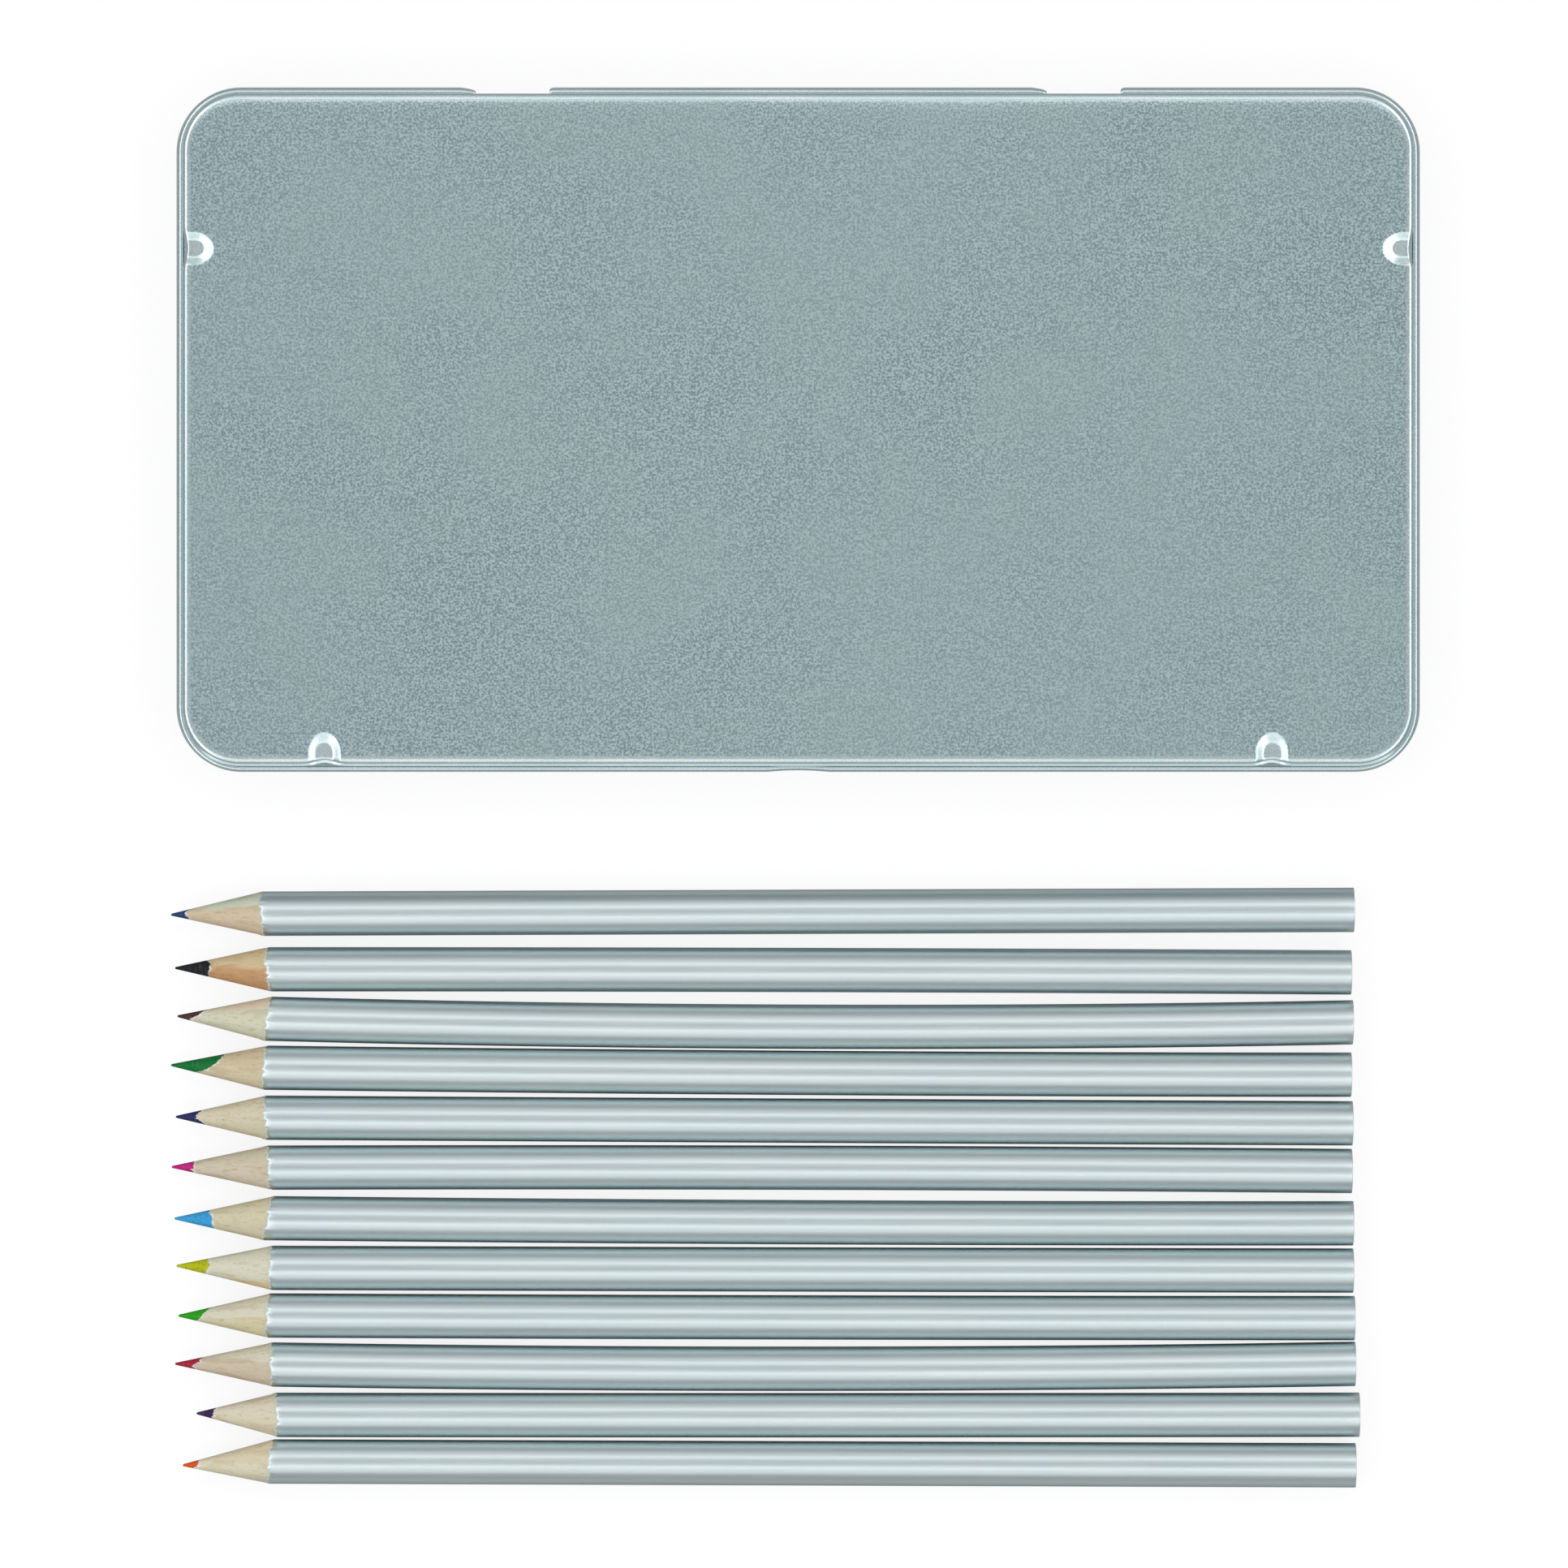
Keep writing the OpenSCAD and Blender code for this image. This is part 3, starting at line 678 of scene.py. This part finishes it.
def pressed(d, z, lead_d, lead_z, out, side, place, curl):
    """Moves points of the sheet for the dimples, the thumb dent and the ends of the curl."""
    moved_d, moved_z = d.copy(), z.copy()
    fade = ease((lead_z - FADE_Z) / FADE_SPAN)
    inward = np.maximum(0, CORNER_R - EDGE_R - lead_d)
    soft = ROLL_OFF * np.exp(-inward / ROLL_OFF_REACH)
    near = np.exp(-((place - SAG_X) / SAG_HALF) ** 2)[:, None]
    sag = SAG * near * np.exp(-inward / SAG_REACH)
    soft = (soft + sag) * ease(out[:, 1])[:, None]
    moved_z -= soft * ease((lead_d - 1.2) / 2) * fade
    for name, middle in DIMPLES:
        here = (side == name)[:, None]
        t = place[:, None] - middle
        inward = CORNER_R - lead_d
        reach = np.hypot(t, DIMPLE_INWARD * np.maximum(0, inward - DIMPLE_INSET))
        rise = np.clip((reach - DIMPLE_FLOOR) / (DIMPLE_TOP - DIMPLE_FLOOR), 0, 1)
        drop = DIMPLE_DEPTH * (1 - 0.7 * rise - 0.3 * ease(rise)) * fade
        dent = DENT_DEPTH * np.exp(-(t / DENT_REACH) ** 2)
        dent = dent * np.exp(-((lead_z - DENT_Z) / DENT_TALL) ** 2)
        dent = dent * ease((4.0 - np.abs(t)) / 1.5) * ease((lead_d - 5.6) / 2.0)
        moved_z = np.where(here, moved_z - drop, moved_z)
        moved_d = np.where(here, moved_d - dent, moved_d)
    outward = np.clip((lead_d - CORNER_R) / (2 * CURL_R - SHEET), 0, 1)
    thumb = THUMB_DEPTH * np.clip(1 - (place[:, None] / THUMB_HALF) ** 2, 0, 1) * outward * curl
    moved_d = np.where((side == "front")[:, None], moved_d - thumb, moved_d)
    for middle in (-HINGE_X, HINGE_X):
        before = (middle - GAP_HALF) - place[:, None]
        after = place[:, None] - (middle + GAP_HALF)
        left = tapered(before, TAPER_BEFORE, SIZE_BEFORE)
        right = tapered(after, TAPER_AFTER, SIZE_AFTER)
        size = np.where((side == "back")[:, None], left * right, 1.0)
        size = 1 + (size - 1) * curl
        moved_d = CORNER_R + (moved_d - CORNER_R) * np.where(lead_d > CORNER_R - SHEET, size, 1.0)
        moved_z = np.where(curl > 0, CURL_Z + (moved_z - CURL_Z) * (1 + (size - 1) * 0.7), moved_z)
    return moved_d, moved_z


def grain_share(lead_d, side, place):
    """How strongly the metal's grain shows: full on the panel, faint where pressed smooth, where
    the tone is also brighter, partly as a painted highlight.
    """
    share = ease((CORNER_R - EDGE_R + 0.1 - lead_d) / 0.4)
    for name, middle in DIMPLES:
        inward = np.maximum(0, CORNER_R - lead_d - DIMPLE_INSET)
        reach = np.hypot(place[:, None] - middle, DIMPLE_INWARD * inward)
        outside = np.clip((reach - DIMPLE_TOP + 0.3) / 0.3, 0, 1)
        share = share * np.where((side == name)[:, None], outside, 1)
    return share


def make_lid(material):
    base, out, side, place = lid_stations()
    rows, turns, skirt_end, curl_end = lid_rows()
    stations, count = len(base), len(rows)
    index = np.arange(count)
    curl = ((index > skirt_end) & (index <= curl_end)).astype(float)[None, :]
    lead_d = np.broadcast_to(rows[:, 0], (stations, count))
    lead_z = np.broadcast_to(rows[:, 1], (stations, count))
    points = []
    for d, z in formed(rows, turns, skirt_end, out):
        d, z = pressed(d, z, lead_d, lead_z, out, side, place, curl)
        xy = base[:, None, :] + d[:, :, None] * out[:, None, :]
        points.append(np.concatenate([xy, z[:, :, None]], -1))
    points = np.stack(points)
    code = np.arange(2 * stations * count).reshape(2, stations, count)

    # Cells of the sheet between one row and the next, present or cut away
    steps = [(k, k + 1) for k in range(curl_end)]
    steps.append((skirt_end, curl_end + 1))
    steps += [(k, k + 1) for k in range(curl_end + 1, count - 1)]
    following = np.roll(np.arange(stations), -1)
    middle_place = (place + place[following]) / 2
    back = (side == "back") & (side[following] == "back")
    off = np.minimum(np.abs(middle_place - HINGE_X), np.abs(middle_place + HINGE_X))
    in_gap = back & (off < GAP_HALF)
    in_tongue = back & (off < TONGUE_HALF)
    present = np.ones((stations, len(steps)), bool)
    for number, (_, high) in enumerate(steps):
        if high > curl_end:
            present[:, number] = in_tongue
        elif high > skirt_end:
            present[:, number] = ~in_gap
    # Both faces of each cell, then the narrow edges that close the sheet round its outline
    faces = []
    row_edges, side_edges = {}, {}
    for number, (low, high) in enumerate(steps):
        for s in np.nonzero(present[:, number])[0]:
            n = following[s]
            faces.append((code[0, s, low], code[0, n, low], code[0, n, high], code[0, s, high]))
            faces.append((code[1, s, low], code[1, s, high], code[1, n, high], code[1, n, low]))
            for row in (low, high):
                row_edges[s, row] = row_edges.get((s, row), 0) + 1
            for station in (s, n):
                side_edges[station, low, high] = side_edges.get((station, low, high), 0) + 1
    for (s, row), uses in row_edges.items():
        if uses == 1 and row > 0:
            n = following[s]
            faces.append((code[0, s, row], code[0, n, row], code[1, n, row], code[1, s, row]))
    for (s, low, high), uses in side_edges.items():
        if uses == 1:
            faces.append((code[0, s, low], code[0, s, high], code[1, s, high], code[1, s, low]))
    faces.append(code[0, :, 0].tolist())
    faces.append(code[1, ::-1, 0].tolist())
    flat = points.reshape(-1, 3)
    used = np.zeros(len(flat), bool)
    for face in faces:
        used[list(face)] = True
    renumber = np.cumsum(used) - 1
    faces = [tuple(int(renumber[k]) for k in face) for face in faces]
    grain = np.tile(grain_share(lead_d, side, place), (2, 1, 1)).reshape(-1)
    lid = new_piece("lid", flat[used], faces, "lid", "tin_lid", {"grain": grain[used]})
    wear(lid, material)


def tin_material():
    """Bare tinplate: satin, with a fine mottled grain and faint drifts of tone, and a brighter tone
    where pressed smooth that is partly a painted highlight.
    """
    material, make = new_material("tinplate")
    place = make.place()
    speck = make.noise(place, 3100, 1.0, 0.5)
    fine = make.noise(place, 9000, 1.0)
    rolled = make.noise(make.stretched(place, (90, 1500, 1500)), 1.0, 3.0, 0.6)
    drift = make.noise(place, 26, 3.0, 0.55)
    tint = make.noise(place, 60, 2.0, 0.5)
    grain = make.fact("grain")
    shown = make.spread(grain, 0, 1, 0.25, 1.0)
    offset = make.math("SUBTRACT", make.spread(speck, 0.36, 0.64), 0.5)
    mottle = make.math("MULTIPLY_ADD", offset, shown, 0.5)
    tone = make.blend(mottle, (0.285, 0.39, 0.425, 1), (0.61, 0.765, 0.785, 1))
    # Brighter tone on the bends, skirt, curl and dimples: partly metal pressed smooth, partly a
    # painted highlight
    smooth = make.blend(mottle, (0.50, 0.60, 0.62, 1), (0.80, 0.90, 0.91, 1))
    tone = make.blend(grain, smooth, tone)
    tone = make.blend(make.spread(tint, 0.4, 0.62, 0.0, 0.3), tone, (0.50, 0.645, 0.625, 1))
    tone = make.blend(make.spread(drift, 0.35, 0.65, 0.0, 0.22), tone, (0.44, 0.565, 0.62, 1))
    tone = make.blend(make.spread(rolled, 0.45, 0.3, 0.0, 0.16), tone, (0.36, 0.46, 0.48, 1))
    rough = make.math("ADD", make.spread(speck, 0.3, 0.7, 0.22, 0.28),
                      make.spread(drift, 0.3, 0.7, 0.0, 0.03))
    height = make.math("MULTIPLY", make.math("ADD", speck, make.math("MULTIPLY", fine, 0.4)), shown)
    make.surface({
        "Base Color": tone, "Metallic": 1.0, "Roughness": rough,
        "Specular Tint": (0.75, 0.8, 0.82, 1.0), "Normal": make.bump(height, 0.25, 0.00006)})
    return material


def tray_material():
    """Thin moulded sheet, pale grey, with the soft mottle of thermoformed plastic."""
    material, make = new_material("tray")
    place = make.place()
    mottle = make.noise(place, 700, 3.0, 0.55)
    drift = make.noise(place, 40, 2.0)
    tone = make.blend(make.spread(mottle, 0.35, 0.65),
                      (0.66, 0.665, 0.655, 1), (0.75, 0.755, 0.74, 1))
    tone = make.blend(make.spread(drift, 0.4, 0.6, 0.0, 0.2), tone, (0.70, 0.69, 0.66, 1))
    make.surface({
        "Base Color": tone, "Roughness": make.spread(mottle, 0.3, 0.7, 0.34, 0.5),
        "Normal": make.bump(mottle, 0.25, 0.00015)})
    return material


# The surroundings

FLOOR_REACH = 3.0
FLOOR_GREY, FLOOR_GLOW, FLOOR_IN_METAL = 0.17, 0.86, 0.42
LAMP_AIM_Y = -0.05

# Lamps: name, degrees from straight up, turn, distance, size across and along the slope, radiance
LAMPS = (
    ("top", 0, 0, 2.2, (1.6, 0.7), 0.24),
    ("front", 24, -90, 1.6, (1.8, 0.32), 1.22),
    ("front_low", 45, -90, 1.6, (1.8, 0.70), 0.55),
    ("back", 29, 90, 1.6, (1.8, 0.34), 1.22),
    ("back_low", 49, 90, 1.6, (1.8, 0.62), 0.34),
    ("left", 34, 180, 1.5, (2.3, 0.42), 1.7),
    ("right", 34, 0, 1.5, (2.3, 0.42), 1.7),
)


def make_floor():
    mesh = bpy.data.meshes.new("floor")
    reach = FLOOR_REACH
    corners = [(-reach, -reach, 0), (reach, -reach, 0), (reach, reach, 0), (-reach, reach, 0)]
    mesh.from_pydata(corners, [], [(0, 1, 2, 3)])
    floor = bpy.data.objects.new("floor", mesh)
    bpy.context.scene.collection.objects.link(floor)
    material, make = new_material("floor")
    path = make.add("ShaderNodeLightPath")
    open_air = make.add("ShaderNodeAmbientOcclusion", {"Distance": 0.006}, samples=12)
    lit = make.add("ShaderNodeBsdfDiffuse", {"Color": (FLOOR_GREY, FLOOR_GREY, FLOOR_GREY, 1.0)})
    glow = make.add("ShaderNodeEmission", {"Color": WHITE, "Strength": FLOOR_GLOW})
    # Metal shows the white floor too, weaker, and not where a piece stands over it
    clear = make.spread(open_air.outputs["AO"], 0.05, 0.15, 0.0, FLOOR_IN_METAL)
    mirrored = make.math("MULTIPLY", path.outputs["Is Glossy Ray"], clear)
    seen = make.math("MAXIMUM", path.outputs["Is Camera Ray"],
                     make.math("MAXIMUM", mirrored, path.outputs["Is Transmission Ray"]))
    both = make.add("ShaderNodeAddShader", {0: lit.outputs[0], 1: glow.outputs[0]})
    make.finish(make.add("ShaderNodeMixShader", {0: seen, 1: lit.outputs[0], 2: both.outputs[0]}))
    wear(floor, material)


def make_camera():
    data = bpy.data.cameras.new("camera")
    data.sensor_fit = "HORIZONTAL"
    data.sensor_width = SENSOR_MM
    data.lens = SENSOR_MM * CAMERA_HEIGHT / VIEW_WIDTH
    data.clip_start = 0.05
    data.clip_end = 20
    camera = bpy.data.objects.new("camera", data)
    bpy.context.scene.collection.objects.link(camera)
    camera.location = (*CAMERA_AT, CAMERA_HEIGHT)
    bpy.context.scene.camera = camera


def soft_box(name, polar, azimuth, distance, size, radiance):
    """A rectangular lamp aimed at the object."""
    data = bpy.data.lights.new(name, "AREA")
    data.shape = "RECTANGLE"
    data.size, data.size_y = size
    data.energy = radiance * math.pi * size[0] * size[1]
    lamp = bpy.data.objects.new(name, data)
    bpy.context.scene.collection.objects.link(lamp)
    p, a = math.radians(polar), math.radians(azimuth)
    lamp.location = (
        distance * math.sin(p) * math.cos(a),
        LAMP_AIM_Y + distance * math.sin(p) * math.sin(a),
        distance * math.cos(p),
    )
    lamp.rotation_euler = (p, 0.0, a + math.pi / 2)


def make_world():
    world = bpy.data.worlds.new("studio")
    bpy.context.scene.world = world
    world.use_nodes = True
    make = Nodes(world.node_tree)
    background = make.add("ShaderNodeBackground", {
        "Color": (0.97, 0.99, 1.0, 1.0), "Strength": 0.4})
    make.finish(background, "ShaderNodeOutputWorld")


make_floor()
make_camera()
make_world()
for lamp_facts in LAMPS:
    soft_box(*lamp_facts)
bpy.context.scene.view_settings.view_transform = "Standard"

tinplate = tin_material()
make_lid(tinplate)
wear(nodes["tin_base"], tinplate)
wear(nodes["pencil_tray"], tray_material())
make_pencils()
